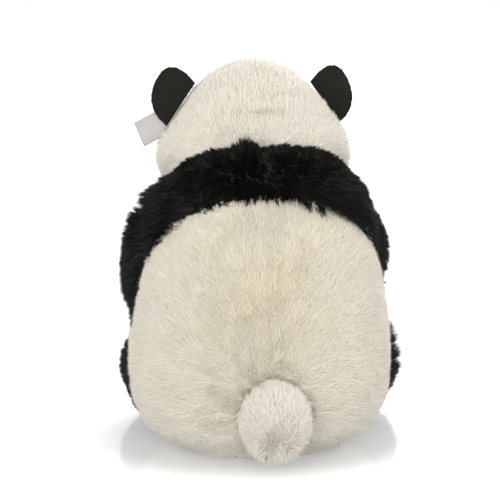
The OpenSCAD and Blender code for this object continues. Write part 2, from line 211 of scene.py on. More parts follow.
def node_tree_of(names):
    """A search tree over the CAD surface of these nodes."""
    mesh = joined_nodes(names)
    tree = BVHTree.FromPolygons([v.co for v in mesh.vertices], [p.vertices for p in mesh.polygons])
    bpy.data.meshes.remove(mesh)
    return tree


def rows_of(items, what, width=3, kind=float):
    """One row of numbers for each vertex, edge or face."""
    values = np.zeros(len(items) * width, kind)
    items.foreach_get(what, values)
    return values.reshape(-1, width)


def points_of(mesh):
    return rows_of(mesh.vertices, "co")


def edge_rows(mesh):
    return rows_of(mesh.edges, "vertices", 2, int)


def move_points(mesh, points):
    mesh.vertices.foreach_set("co", points.ravel())
    mesh.update()


def press_in(form, depth):
    """Moves the surface inwards; depth is a function of its points and normals."""
    points, normals = points_of(form.data), rows_of(form.data.vertex_normals, "vector")
    move_points(form.data, points - normals * depth(points, normals)[:, None])


def keep_outer_skin(mesh):
    """Keeps only the largest shell, so that nothing is left inside a form."""
    work = bmesh.new()
    work.from_mesh(mesh)
    left, shells = set(work.verts), []
    while left:
        shell, edge = set(), [left.pop()]
        while edge:
            vert = edge.pop()
            shell.add(vert)
            for link in vert.link_edges:
                other = link.other_vert(vert)
                if other in left:
                    left.remove(other)
                    edge.append(other)
        shells.append(shell)
    shells.sort(key=len)
    bmesh.ops.delete(work, geom=[v for shell in shells[:-1] for v in shell], context="VERTS")
    bmesh.ops.recalc_face_normals(work, faces=work.faces)
    work.to_mesh(mesh)
    work.free()


def finish_piece(obj, material, body, replaces=None):
    """Smooth shading and a material; the piece rides on its body, and the CAD part that it stands in for is
    hidden.
    """
    mesh = obj.data
    mesh.materials.clear()
    mesh.materials.append(fabric(material))
    mesh.polygons.foreach_set("use_smooth", [True] * len(mesh.polygons))
    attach(obj, body)
    if replaces:
        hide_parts(replaces)


# ---- numbers along a surface ----
def unit_rows(rows):
    return rows / np.maximum(np.linalg.norm(rows, axis=1), 1e-9)[:, None]


def ramp(value, start, reach):
    """0 up to the start, then rising to 1 over the reach."""
    return np.clip((value - start) / reach, 0, 1)


def fall(value, end, reach):
    """1 at first, then falling to 0 at the end, over the reach."""
    return np.clip((end - value) / reach, 0, 1)


def hump(value, middle, width):
    return np.exp(-((value - middle) / width) ** 2)


def nearest_on(nodes, points):
    """Nearest point on the surface of some CAD nodes and its distance, for each point."""
    tree = node_tree_of(nodes)
    found = [tree.find_nearest(Vector(p)) for p in points]
    return np.array([f[0] for f in found]), np.array([f[3] for f in found])


def gaps_to(points, picked):
    """Distance from each point to the nearest picked one."""
    tree = KDTree(len(picked))
    for index, point in enumerate(picked):
        tree.insert(Vector(point), index)
    tree.balance()
    return np.array([tree.find(Vector(p))[2] for p in points])


# ---- stuffed forms ----
def padded_form(nodes, voxel, smooth=5):
    """A closed form of even faces over the outer surface of some CAD nodes."""
    form = place(nodes[0] + "_form", joined_nodes(nodes))
    remesh = form.modifiers.new("grid", "REMESH")
    remesh.mode = "VOXEL"
    remesh.voxel_size = voxel
    settle(form)
    keep_outer_skin(form.data)
    soften = form.modifiers.new("soften", "SMOOTH")
    soften.factor = 0.5
    soften.iterations = smooth
    return settle(form)


def nearest_panel(points, panels):
    """The index of the panel whose CAD surface lies nearest, for each point."""
    if len(panels) == 1:
        return np.zeros(len(points), int)
    distances = [nearest_on([panel], points)[1] for panel in panels]
    return np.argmin(np.array(distances), axis=0)


def seam_points(form, panels):
    """Which vertices lie where two panels meet."""
    zone = nearest_panel(points_of(form.data), panels)
    on_seam = np.zeros(len(zone), bool)
    edges = edge_rows(form.data)
    on_seam[edges[zone[edges[:, 0]] != zone[edges[:, 1]]].ravel()] = True
    return on_seam


def blow_up(form, panels):
    """Pushes the fabric out like filling does, with the seams held in place."""
    sizes = settings("forms")
    before = points_of(form.data)
    group = form.vertex_groups.new(name="sewn")
    group.add([int(i) for i in np.flatnonzero(seam_points(form, panels))], 1.0, "REPLACE")
    cloth = form.modifiers.new("filling", "CLOTH")
    cloth.settings.quality = 4
    cloth.settings.mass = 0.3
    cloth.settings.use_pressure = True
    cloth.settings.uniform_pressure_force = sizes.pressure
    cloth.settings.vertex_group_mass = "sewn"
    cloth.settings.effector_weights.gravity = 0
    cloth.collision_settings.use_collision = False
    scene, steps = bpy.context.scene, 20
    for step in range(steps):
        scene.frame_set(step + 1)
    settle(form)
    scene.frame_set(1)
    move = points_of(form.data) - before
    length = np.linalg.norm(move, axis=1)
    share = np.minimum(1.0, sizes.swell / np.maximum(length, 1e-9))
    after = before + move * share[:, None]
    after[:, 2] = np.maximum(after[:, 2], 0)
    move_points(form.data, after)
    form.vertex_groups.clear()


def stuffed_form(panels, filling, voxel):
    """A padded form blown up between its seams, with its faces halved in size."""
    form = padded_form(panels + [filling], voxel)
    blow_up(form, panels)
    smooth = form.modifiers.new("fabric", "SUBSURF")
    smooth.levels = smooth.render_levels = 1
    return settle(form)


def blur(mesh, values, rounds=8):
    """Evens out values along the fabric."""
    ends = edge_rows(mesh)
    links = np.bincount(ends.ravel(), minlength=len(values)) + 1
    for _ in range(rounds):
        total = values.copy()
        np.add.at(total, ends[:, 0], values[ends[:, 1]])
        np.add.at(total, ends[:, 1], values[ends[:, 0]])
        values = total / links
    return values


def sink(form, panels, depths):
    """Lowers the ground of the fabric under the pile's outer surface, but not where it rests."""
    rest = 0.008
    press_in(form, lambda points, normals: blur(
        form.data, np.array(depths)[nearest_panel(points, panels)]) * ramp(points[:, 2], 0, rest))


def press_channels(form, panels, depth, reach=0.006):
    """Pulls the fabric in along the seams between panels."""
    held = seam_points(form, panels)
    press_in(form, lambda points, normals: depth * hump(gaps_to(points, points[held]), 0, reach))


COMB_MARKS = ("comb", "pile_length", "pile_density", "tone")


def comb(form, flow, length, tone, neighbours, covers=(), clear=0.003, reach=0.012, push=1.4):
    """Stores which way the pile lies, how long and how dense it is and how warm its colour is.

    flow, length and tone are functions of the points and normals. Pile keeps off the neighbours, and
    none grows right under the covers, nor where the fabric rests on the floor.
    """
    under_cover, floor_gap, sole_gap = 0.006, 0.0025, 0.004
    shorter, facing_neighbour, facing_cover, facing_down = 0.45, 0.5, 0.75, -0.6
    mesh = form.data
    points, normals = points_of(mesh), rows_of(mesh.vertex_normals, "vector")
    lay = flow(points, normals)
    long = length(points, normals)
    dense = np.ones(len(points))
    near, gap = nearest_on(neighbours, points)
    away = unit_rows(points - near)
    facing = np.clip(0.8 - 1.5 * (away * normals).sum(axis=1), 0, 1)
    close = np.clip(1 - (gap - clear) / (reach - clear), 0, 1) * facing
    lay = lay + away * (close * push)[:, None]
    long = long * (1 - shorter * close)
    dense[(gap < clear) & (facing > facing_neighbour)] = 0
    if covers:
        near, gap = nearest_on(covers, points)
        facing = ((near - points) * normals).sum(axis=1) / np.maximum(gap, 1e-9)
        dense[(gap < under_cover) & (facing > facing_cover)] = 0
    lay = lay - normals * (lay * normals).sum(axis=1)[:, None]
    under = (points[:, 2] < sole_gap) & (normals[:, 2] < facing_down)
    dense[under | (points[:, 2] < floor_gap)] = 0
    for name, values in zip(COMB_MARKS, (lay, long, dense, tone(points, normals))):
        kind, field = ("FLOAT_VECTOR", "vector") if values.ndim == 2 else ("FLOAT", "value")
        attribute = mesh.attributes.new(name, kind, "POINT")
        attribute.data.foreach_set(field, values.astype(np.float32).ravel())


def drop_marks(mesh, names):
    for name in names:
        if name in mesh.attributes:
            mesh.attributes.remove(mesh.attributes[name])


def cut_panel(form, name, zone, index):
    """A copy of the faces of one zone, as its own object."""
    work = bmesh.new()
    work.from_mesh(form.data)
    work.faces.ensure_lookup_table()
    bmesh.ops.delete(work, geom=[f for f in work.faces if zone[f.index] != index], context="FACES")
    mesh = form.data.copy()
    work.to_mesh(mesh)
    work.free()
    return place(name, mesh)


# ---- node trees ----
def fill(tree, inputs, values):
    """Sets inputs to constant values, or links them to other nodes' sockets."""
    for key, value in values.items():
        if isinstance(value, bpy.types.NodeSocket):
            tree.links.new(value, inputs[key])
        else:
            inputs[key].default_value = value


def add_node(tree, kind, values=(), **options):
    """A node with its options set and its inputs filled."""
    made = tree.nodes.new(kind)
    for key, value in options.items():
        setattr(made, key, value)
    fill(tree, made.inputs, dict(values))
    return made


def new_group(name, kind, inputs, outputs):
    """A node group with these inputs and outputs, each a name, a type and perhaps a default."""
    tree = bpy.data.node_groups.new(name, kind)
    for in_out, sockets in (("INPUT", inputs), ("OUTPUT", outputs)):
        for label, socket, *default in sockets:
            made = tree.interface.new_socket(label, in_out=in_out, socket_type="NodeSocket" + socket)
            if default:
                made.default_value = default[0]
    return tree, tree.nodes.new("NodeGroupInput").outputs, tree.nodes.new("NodeGroupOutput").inputs


def calculated(tree, operation, a, b=0.0):
    return add_node(tree, "ShaderNodeMath", {0: a, 1: b}, operation=operation).outputs[0]


def scaled(tree, vector, scale):
    return add_node(tree, "ShaderNodeVectorMath", {0: vector, "Scale": scale}, operation="SCALE").outputs[0]


# ---- pile ----
PILE_INPUTS = [
    ("Geometry", "Geometry"), ("Density", "Float", 1.0e6), ("Length", "Float", 0.012),
    ("Width", "Float", 0.0004), ("Clump Spacing", "Float", 0.006), ("Gather", "Float", 0.5),
    ("Mess", "Float", 0.3), ("Swirl", "Float", 0.5), ("Swirl Scale", "Float", 45.0),
    ("Rest Height", "Float", 0.0012), ("Soft Shading", "Float", 0.6), ("Seed", "Int", 1),
    ("Material", "Material"),
]
TUFT_MARKS = ("root_normal", "strand_tone", "across", "along")


def pile_tree():
    """Geometry nodes that stand tufts on a fabric, in clumps, along its comb."""
    tree, given, result = new_group("panda_pile", "GeometryNodeTree", PILE_INPUTS, [("Geometry", "Geometry")])

    def node(kind, values=(), **options):
        return add_node(tree, kind, values, **options)

    def number(operation, a, b=0.0):
        return calculated(tree, operation, a, b)

    def vector(operation, a, b=(0, 0, 0)):
        return node("ShaderNodeVectorMath", {0: a, 1: b}, operation=operation).outputs[0]

    def mix(share, first, second):
        # Of the node's sockets, 4 and 5 in and 1 out are the vector ones.
        return node("ShaderNodeMix", {0: share, 4: first, 5: second}, data_type="VECTOR").outputs[1]

    def place_here():
        return node("GeometryNodeInputPosition").outputs[0]

    def stored(name, kind="FLOAT"):
        return node("GeometryNodeInputNamedAttribute", {"Name": name}, data_type=kind).outputs["Attribute"]

    def keep(geometry, name, value, kind="FLOAT", domain="POINT"):
        return node("GeometryNodeStoreNamedAttribute", {"Geometry": geometry, "Name": name, "Value": value},
                    data_type=kind, domain=domain).outputs[0]

    def random(low, high, offset, kind="FLOAT"):
        """A random value of each tuft's own; the offset keeps its draws apart from the others."""
        made = node("FunctionNodeRandomValue", {"Seed": number("ADD", given["Seed"], offset)}, data_type=kind)
        for name, value in (("Min", low), ("Max", high)):
            next(s for s in made.inputs if s.name == name and s.enabled).default_value = value
        return next(s for s in made.outputs if s.enabled)

    def scatter(density, offset):
        return node("GeometryNodeDistributePointsOnFaces", {
            "Mesh": given["Geometry"], "Density": number("MULTIPLY", density, stored("pile_density")),
            "Seed": number("ADD", given["Seed"], offset),
        }, distribute_method="RANDOM").outputs

    def growth(normal):
        """Vector from root to tip by the comb and the swirl."""
        swirl = node("ShaderNodeTexNoise", {
            "Scale": given["Swirl Scale"], "Detail": 1.0, "Vector": place_here()}).outputs["Color"]
        turn = scaled(tree, vector("SUBTRACT", swirl, (0.5, 0.5, 0.5)), given["Swirl"])
        way = vector("ADD", vector("ADD", normal, stored("comb", "FLOAT_VECTOR")), turn)
        return vector("NORMALIZE", way)

    # Middles of the clumps, and where their tips are.
    reach = number("MULTIPLY", given["Length"], stored("pile_length"))
    spacing = number("MULTIPLY", given["Clump Spacing"], given["Clump Spacing"])
    middles = scatter(number("DIVIDE", 1.0, spacing), 11)
    clump_tip = vector("ADD", place_here(), scaled(tree, growth(middles["Normal"]), reach))

    # Roots, each with the clump that it belongs to.
    roots = scatter(given["Density"], 0)
    fray = scaled(tree, random((-1, -1, -1), (1, 1, 1), 3, "FLOAT_VECTOR"), given["Mess"])
    own = vector("NORMALIZE", vector("ADD", growth(roots["Normal"]), fray))
    long = number("MULTIPLY", reach, random(0.8, 1.08, 5))
    here = place_here()
    nearest = node("GeometryNodeSampleNearest", {"Geometry": middles["Points"]}, domain="POINT").outputs[0]
    tip = node("GeometryNodeSampleIndex", {
        "Geometry": middles["Points"], "Value": clump_tip, "Index": nearest,
    }, data_type="FLOAT_VECTOR", domain="POINT").outputs[0]
    lean = number("MULTIPLY", given["Gather"], random(0.35, 1.0, 7))
    aim = mix(lean, vector("ADD", here, scaled(tree, own, long)), tip)
    end = vector("ADD", here, scaled(tree, vector("NORMALIZE", vector("SUBTRACT", aim, here)), long))

    # Tips stay above the floor.
    parts = node("ShaderNodeSeparateXYZ", {0: end}).outputs
    lifted = node("ShaderNodeCombineXYZ", {
        0: parts[0], 1: parts[1], 2: number("MAXIMUM", parts[2], given["Rest Height"]),
    }).outputs[0]
    shaft = vector("SUBTRACT", lifted, here)
    size = node("ShaderNodeVectorMath", {0: shaft}, operation="LENGTH").outputs["Value"]

    points = keep(roots["Points"], "root_normal", roots["Normal"], "FLOAT_VECTOR")
    points = keep(points, "strand_tone", number("ADD", stored("tone"), random(-0.10, 0.10, 9)))

    # One tuft: a closed three-sided spike.
    spike = node("GeometryNodeMeshCone", {
        "Vertices": 3, "Radius Top": 0.0, "Radius Bottom": 1.0, "Depth": 1.0,
    }, fill_type="NGON").outputs["Mesh"]
    shape = node("ShaderNodeSeparateXYZ", {0: place_here()}).outputs
    spike = keep(spike, "across", number("ADD", shape[0], number("MULTIPLY", shape[1], 0.5)))
    spike = keep(spike, "along", number("ADD", shape[2], number("MULTIPLY", shape[1], 0.02)))

    twist = node("ShaderNodeCombineXYZ", {2: random(0.0, 6.283, 13)}).outputs[0]
    turned = node("FunctionNodeEulerToRotation", {0: twist}).outputs[0]
    turned = node("FunctionNodeAlignRotationToVector", {"Rotation": turned, "Vector": shaft}, axis="Z")
    wide = number("MULTIPLY", given["Width"], random(0.75, 1.2, 15))
    tufts = node("GeometryNodeInstanceOnPoints", {
        "Points": points, "Instance": spike, "Rotation": turned.outputs[0],
        "Scale": node("ShaderNodeCombineXYZ", {0: wide, 1: wide, 2: size}).outputs[0],
    }).outputs[0]
    tufts = node("GeometryNodeRealizeInstances", {"Geometry": tufts}).outputs[0]

    # The map holds the tuft's tone across and the place along it upwards.
    u = number("ADD", stored("strand_tone"), number("MULTIPLY", stored("across"), 0.01))
    v = number("ADD", number("MULTIPLY", stored("along"), 0.94), 0.03)
    u = node("ShaderNodeClamp", {0: u, 1: 0.01, 2: 0.99}).outputs[0]
    both = node("ShaderNodeCombineXYZ", {0: u, 1: v}).outputs[0]
    tufts = keep(tufts, UV_MAP, both, "FLOAT2", "CORNER")
    soft = mix(given["Soft Shading"], node("GeometryNodeInputNormal").outputs[0],
               stored("root_normal", "FLOAT_VECTOR"))
    shaded = node("GeometryNodeSetMeshNormal", {"Mesh": tufts}, mode="FREE", domain="POINT")
    tree.links.new(vector("NORMALIZE", soft), shaded.inputs["Custom Normal"])
    done = node("GeometryNodeSetMaterial", {"Geometry": shaded.outputs[0], "Material": given["Material"]})
    tree.links.new(done.outputs[0], result[0])
    return tree


def grow_pile(panel, body, material, slot, seed, share=1.0, **changes):
    """Fur on one panel, as a plain mesh that rides on the panel's body."""
    sizes = settings("pile")
    values = {
        "Density": sizes.density, "Length": sizes.length, "Width": sizes.width, "Clump Spacing": sizes.clump,
        "Gather": sizes.gather, "Seed": sizes.seed + seed, "Material": material, **changes,
    }
    values["Density"] *= share
    work = place(panel.name + "_work", panel.data.copy())
    grow = work.modifiers.new("pile", "NODES")
    grow.node_group = bpy.data.node_groups.get("panda_pile") or pile_tree()
    for socket in grow.node_group.interface.items_tree:
        if socket.item_type == "SOCKET" and socket.in_out == "INPUT" and socket.name in values:
            grow[socket.identifier] = values[socket.name]
    mesh = evaluated_mesh(work)
    discard(work)
    drop_marks(mesh, TUFT_MARKS + COMB_MARKS)
    pile = place("pile_" + panel.name.replace("skin_", ""), mesh)
    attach(pile, body)


# ---- materials ----
def new_material(name, make):
    """A material whose shader's inputs are filled with what make, a function of its tree, gives."""
    material = bpy.data.materials.new(name)
    material.use_nodes = True
    tree = material.node_tree
    fill(tree, tree.nodes["Principled BSDF"].inputs, make(tree))
    return material


def colour_group():
    """Pile colour from the tuft's tone and the place along it. It darkens towards Along 0, down to Root Shade: on
    a tuft that is painted shade at its root, and on the backing, where Along is a fine noise, it is a mottle.
    """
    tree, given, result = new_group("pile_colour", "ShaderNodeTree", [
        ("Cool", "Color"), ("Warm", "Color"), ("Root Shade", "Float"), ("Tone", "Float"), ("Along", "Float"),
    ], [("Color", "Color")])
    # Of the mix node's sockets, 6 and 7 in and 2 out are the colour ones.
    blend = add_node(tree, "ShaderNodeMix", {0: given["Tone"], 6: given["Cool"], 7: given["Warm"]},
                     data_type="RGBA").outputs[2]
    # Painted shade on the tufts: the colour falls from full at 0.6 along to Root Shade at the root.
    rise = add_node(tree, "ShaderNodeMapRange", {"Value": given["Along"], "From Max": 0.6, "To Max": 1.0,
                                                 "To Min": given["Root Shade"]}).outputs[0]
    tree.links.new(scaled(tree, blend, rise), result[0])
    return tree


def grouped_colour(tree, cool, warm, root_shade, tone, along):
    return add_node(tree, "ShaderNodeGroup", {
        "Cool": (*cool, 1), "Warm": (*warm, 1), "Root Shade": root_shade, "Tone": tone, "Along": along,
    }, node_tree=bpy.data.node_groups.get("pile_colour") or colour_group()).outputs[0]


def pile_material(name, cool, warm, root_shade, roughness, sheen, specular, glow):
    """Fur, coloured by its own map of tones, and darkened towards the roots where root_shade is below 1, which is
    painted shade.
    """
    def look(tree):
        spot = add_node(tree, "ShaderNodeUVMap", uv_map=UV_MAP).outputs[0]
        tone, along, _ = add_node(tree, "ShaderNodeSeparateXYZ", {0: spot}).outputs
        return {
            "Base Color": grouped_colour(tree, cool, warm, root_shade, tone, along), "Roughness": roughness,
            "Sheen Weight": sheen, "Sheen Roughness": 0.5, "Specular IOR Level": specular,
            "Subsurface Weight": glow, "Subsurface Radius": (1.0, 0.92, 0.8), "Subsurface Scale": 0.004,
        }
    return new_material(name, look)


def noise(tree, scale, detail):
    where = add_node(tree, "ShaderNodeTexCoord").outputs["Object"]
    made = add_node(tree, "ShaderNodeTexNoise", {"Vector": where, "Scale": scale, "Detail": detail})
    return made.outputs["Fac"]


def bumped(tree, height, strength, distance):
    return add_node(tree, "ShaderNodeBump", {
        "Height": height, "Strength": strength, "Distance": distance}).outputs[0]


def backing_material(name, cool, warm):
    """The knitted ground under the pile, with the pile's own colour and a fuzzy bump."""
    def look(tree):
        cloud, fuzz = noise(tree, 40.0, 3.0), noise(tree, 900.0, 4.0)
        return {"Base Color": grouped_colour(tree, cool, warm, 0.92, cloud, fuzz),
                "Normal": bumped(tree, fuzz, 0.6, 0.001), "Roughness": 0.9}
    return new_material(name, look)


def nap_group():
    """Fine nap: a mottled shade and a height for a bump."""
    tree, given, result = new_group("fine_nap", "ShaderNodeTree", [("Scale", "Float"), ("Low", "Float")],
                                    [("Shade", "Float"), ("Height", "Float")])
    fine, broad = noise(tree, given["Scale"], 5.0), noise(tree, 55.0, 2.0)
    shade = add_node(tree, "ShaderNodeMapRange", {
        "Value": calculated(tree, "MULTIPLY", fine, broad), "From Min": 0.12, "From Max": 0.42,
        "To Min": given["Low"], "To Max": 1.15,
    }).outputs[0]
    fill(tree, result, {"Shade": shade, "Height": fine})
    return tree


def napped_material(name, colour, scale, low, bump, roughness, sheen, specular):
    """Suede, satin, felted filling or plastic: one colour mottled by a fine nap."""
    def look(tree):
        nap = add_node(tree, "ShaderNodeGroup", {"Scale": scale, "Low": low},
                       node_tree=bpy.data.node_groups.get("fine_nap") or nap_group()).outputs
        return {"Base Color": scaled(tree, colour[:3], nap["Shade"]),
                "Normal": bumped(tree, nap["Height"], 0.5, bump), "Roughness": roughness,
                "Sheen Weight": sheen, "Specular IOR Level": specular}
    return new_material(name, look)


# A root shade below 1 darkens a tuft towards its root, painted shade between the tufts: the dark fur has it, the
# fair fur none.
FAIR_FUR = {"root_shade": 1.0, "roughness": 0.9, "sheen": 0.05, "specular": 0.3, "glow": 0.6}
DARK_FUR = {"root_shade": 0.5, "roughness": 0.5, "sheen": 0.0, "specular": 0.22, "glow": 0.0}
# Colour, scale of the grain, darkest shade, depth of the bump, roughness, sheen, specular.
NAPPED = {
    "suede": (None, 1400.0, 0.7, 0.0004, 0.9, 0.05, 0.15),
    "satin": ((0.40, 0.386, 0.376), 2500.0, 0.9, 0.0001, 0.45, 0.1, 0.5),
    "filling": ((0.85, 0.85, 0.83), 500.0, 0.8, 0.002, 0.95, 0.3, 0.5),
    "thread": ((0.78, 0.74, 0.64), 2200.0, 0.7, 0.0003, 0.7, 0.2, 0.5),
    "stitch": ((0.012, 0.011, 0.010), 2200.0, 0.7, 0.0003, 0.6, 0.2, 0.5),
    "glossy_plastic": ((0.003, 0.0022, 0.0018), 300.0, 0.95, 0.00001, 0.1, 0.0, 0.22),
    "washer_plastic": ((0.75, 0.75, 0.72), 400.0, 0.9, 0.00005, 0.45, 0.0, 0.5),
}


def fabric(name):
    """The material of this name, made the first time that it is asked for."""
    found = bpy.data.materials.get(name)
    if found:
        return found
    hue = settings("colours")
    if name in NAPPED:
        colour, *grain = NAPPED[name]
        return napped_material(name, colour or hue.suede, *grain)
    kind, _, layer = name.partition("_")
    tones = {"pale": (hue.ivory, hue.cream), "tail": (hue.ivory, hue.snow),
             "dark": (hue.soot, tuple(c * 1.9 for c in hue.soot))}[kind]
    if layer == "backing":
        return backing_material(name, *tones)
    return pile_material(name, *tones, **(DARK_FUR if kind == "dark" else FAIR_FUR))


def finish_nodes(names, material):
    """Gives carried-over CAD nodes a material."""
    for name in names:
        slots = frame["nodes"][name].data.materials
        slots.clear()
        slots.append(fabric(material))


# ---- panels: backing and pile ----
def dress(form, body, panels, pile, kind=None):
    """Cuts a combed form into its panels, each a backing with its own pile.

    pile maps a panel to the keyword changes of its fur, or to None where it has none.
    """
    zone = nearest_panel(rows_of(form.data.polygons, "center"), panels)
    for index, name in enumerate(panels):
        skin = cut_panel(form, "skin_" + name, zone, index)
        fur = kind or ("dark" if name in DARK else "pale")
        if pile[name] is not None:
            grow_pile(skin, body, fabric(fur + "_pile"), fur + "_fur", seed=31 * index, **pile[name])
        drop_marks(skin.data, COMB_MARKS)
        wall = skin.modifiers.new("backing", "SOLIDIFY")
        wall.thickness = settings("forms").backing
        wall.offset = -1
        finish_piece(skin, fur + "_backing", body, name)
    discard(form)


def constant(value):
    return lambda points, normals: np.full(len(points), value)


def near_floor(least):
    """Pile that gets shorter towards the floor."""
    return lambda points, normals: least + (1 - least) * ramp(points[:, 2], 0, 0.05)


def cloud_tone(points, normals):
    """Slow drift between the warm and the cool fur."""
    x, _, z = points.T * 1000
    return 0.5 + 0.12 * np.sin(x / 31 + 1.3) * np.cos(z / 27) + 0.08 * np.sin(z / 13 + x / 17)


def torso_tone(points, normals):
    """Warmest in the middle of the back."""
    middle = hump(points[:, 0], 0, 0.085) * hump(points[:, 2], 0.165, 0.10)
    return np.clip(cloud_tone(points, normals) - 0.22 + 0.55 * middle, 0.05, 0.95)


def on_yoke(points):
    return np.isin(nearest_panel(points, TORSO_PANELS), [TORSO_PANELS.index(name) for name in YOKE])


def torso_length(points, normals):
    """Short at the floor and round the neck, with a tuft at the nape, long where the arms are set in."""
    x, _, z = points.T
    yoke = on_yoke(points)
    shoulder_z, neck_z, collar_z, seam_reach = np.where(x > 0, 0.247, 0.262), 0.262, 0.272, 0.014
    shoulders = hump(z, shoulder_z, 0.02) * ramp(np.abs(x), 0.07, 0.025)
    sides = shoulders * np.where(x > 0, 1.0, -0.35)
    nape = 0.6 * hump(x, 0.019, 0.009) - 0.4 * hump(x, 0.001, 0.004)
    neck = ramp(z, neck_z, 0.02) * (0.5 - nape)
    gap = nearest_on(YOKE, points)[1]
    edge = (0.5 - 0.15 * np.sign(x)) * ~yoke * fall(gap, seam_reach, seam_reach)
    below = yoke * fall(z, collar_z, 0.01) * fall(np.abs(x), 0.105, 0.02)
    below *= 0.45 * np.clip(-x / 0.04, -1.2, 1.2)
    crease_z = TAIL_MIDDLE.z + 0.052
    crease = 0.15 * hump(z, crease_z, 0.003) * np.exp(-((x - TAIL_MIDDLE.x) / 0.028) ** 4)
    return near_floor(0.3)(points, normals) * (1 + sides - neck - edge + below - crease)


def torso_flow(points, normals):
    """Pile lies upwards and outwards, parted down the back; on the yoke it lies down below the neck."""
    x, _, z = points.T
    level = np.zeros(len(x))
    lay, parting, parting_width, root_z = 1.05, 0.4, 0.006, 0.02
    fan = unit_rows(np.column_stack([x * 1.4, level, z - root_z])) * lay
    fan[:, 0] += np.exp(-np.abs(x) / parting_width) * np.sign(x) * parting
    over = np.column_stack([np.clip(x / 0.08, -1, 1) * 0.5, level, 1.4 * ramp(z, 0.272, 0.025) - 0.8])
    return np.where(on_yoke(points)[:, None], over, fan)


def head_flow(points, normals):
    """Pile lies up towards the crown, and out over the cheeks beside the neck."""
    x, _, z = points.T
    ears_z = CROWN_Z - 0.058
    low = fall(z, ears_z, 0.03)
    return 1.1 * np.column_stack([np.tanh(x / 0.02) * low, np.full(len(x), -0.2), 1 - 1.2 * low])


def head_length(points, normals):
    """Longest over the cheeks, so that they stand out beside the neck, and short round the ears."""
    x, _, z = points.T
    cheek_z = CROWN_Z - 0.088
    cheeks = hump(z, cheek_z, 0.026) * ramp(np.abs(x), 0.05, 0.03)
    gap = nearest_on(["ear_left_back", "ear_right_back"], points)[1]
    return (0.75 + 0.5 * cheeks) * (1 - 0.45 * fall(gap, 0.018, 0.012))


def limb_flow(start, end):
    way = np.array((Vector(end) - Vector(start)).normalized())
    return lambda points, normals: np.tile(way * 0.65, (len(points), 1))


def shoulder_length(shoulder):
    """Pile over the place where an arm is set in, fuller on one side, and longer towards the paw."""
    drop, top, paw = (0.03, 0.55, 0.45) if shoulder.x > 0 else (0.012, -0.4, 0.15)
    return lambda points, normals: (0.9 + top * hump(points[:, 2], shoulder.z + drop, 0.02)
                                    + paw * fall(points[:, 2], shoulder.z - 0.03, 0.03))


def neck_creases(points, normals):
    """Depth of two soft folds across the back of the head, below the crown."""
    x, y, z = points.T
    total = np.zeros(len(points))
    folds = ((0.047, 0.004, 0.040, 3.0), (0.030, -0.022, 0.026, 4.0))
    for drop, middle, reach, bend in folds:
        line = CROWN_Z - drop - bend * (x - middle) ** 2
        fold = hump(z, line, 0.0035) - 0.5 * hump(z, line + 0.009, 0.006)   # a groove, and a roll above it
        total += fold * np.exp(-((x - middle) / reach) ** 4)
    return settings("forms").crease * total * ramp(y, HEAD_MIDDLE.y, 0.03)


class PANDA_OT_torso(bpy.types.Operator):
    """Back, belly, base and yoke of the stuffed body."""
    bl_idname = "panda.torso"
    bl_label = "Stuffed body"

    def execute(self, context):
        sizes, length = settings("forms"), settings("pile").length
        form = stuffed_form(TORSO_PANELS, "torso_stuffing", sizes.voxel)
        press_channels(form, TORSO_PANELS, sizes.channel)
        sink(form, TORSO_PANELS, [0.001 if name in DARK else 0.004 for name in TORSO_PANELS])
        comb(form, torso_flow, torso_length, torso_tone, HEAD_PANELS + ARM_SKINS + LEG_SKINS,
             covers=["tail_skin"])
        dark = {"Length": length * 1.1, **DARK_PILE}
        pale = {"Length": length * 0.85, **PALE_PILE}
        dress(form, "torso", TORSO_PANELS, {
            "base": None, "yoke_back": dark, "yoke_front": dark, "back_left": pale, "back_right": pale,
            "belly": {**pale, "share": 0.5, "Width": 0.0011},
        })
        return {"FINISHED"}


class PANDA_OT_head(bpy.types.Operator):
    """Head, face, eye patches and muzzle."""
    bl_idname = "panda.head"
    bl_label = "Head"

    def execute(self, context):
        sizes = settings("forms")
        form = stuffed_form(HEAD_PANELS, "head_stuffing", sizes.voxel)
        press_in(form, neck_creases)
        press_channels(form, HEAD_PANELS, sizes.channel * 0.5)
        sink(form, HEAD_PANELS, [0.004] * len(HEAD_PANELS))
        neighbours = YOKE + ["muzzle", "eye_left", "eye_right", "ear_left_back", "ear_right_back", "label"]
        comb(form, head_flow, head_length, lambda p, n: cloud_tone(p, n) - 0.3, neighbours, clear=0.0016)
        patch = {**DARK_PILE, "Length": settings("pile").length * 0.6}
        pile = {name: patch if name in DARK else PALE_PILE for name in HEAD_PANELS}
        dress(form, "head", HEAD_PANELS, pile)
        muzzle = padded_form(["muzzle", "muzzle_stuffing"], 0.004, 3)
        sink(muzzle, ["muzzle"], [0.002])
        comb(muzzle, lambda p, n: (p - np.array(NOSE_MIDDLE)) * 30, constant(0.42), cloud_tone,
             ["nose"] + HEAD_PANELS, clear=0.0012, reach=0.006)
        dress(muzzle, "head", ["muzzle"], {"muzzle": PALE_PILE})
        return {"FINISHED"}


class PANDA_OT_arms(bpy.types.Operator):
    """Both arms."""
    bl_idname = "panda.arms"
    bl_label = "Arms"

    def execute(self, context):
        for side in ("left", "right"):
            name = f"arm_{side}_skin"
            form = stuffed_form([name], f"arm_{side}_stuffing", settings("forms").voxel)
            shoulder = Vector(JOINTS[f"shoulder_{side}"]["pos_m"])
            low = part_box(name)[0]
            paw = Vector((middle_of(name).x, low[1], low[2]))
            comb(form, limb_flow(shoulder, paw), shoulder_length(shoulder), constant(0.5),
                 TORSO_PANELS + LEG_SKINS + HEAD_PANELS)
            dress(form, f"arm_{side}", [name], {name: DARK_PILE}, "dark")
        return {"FINISHED"}


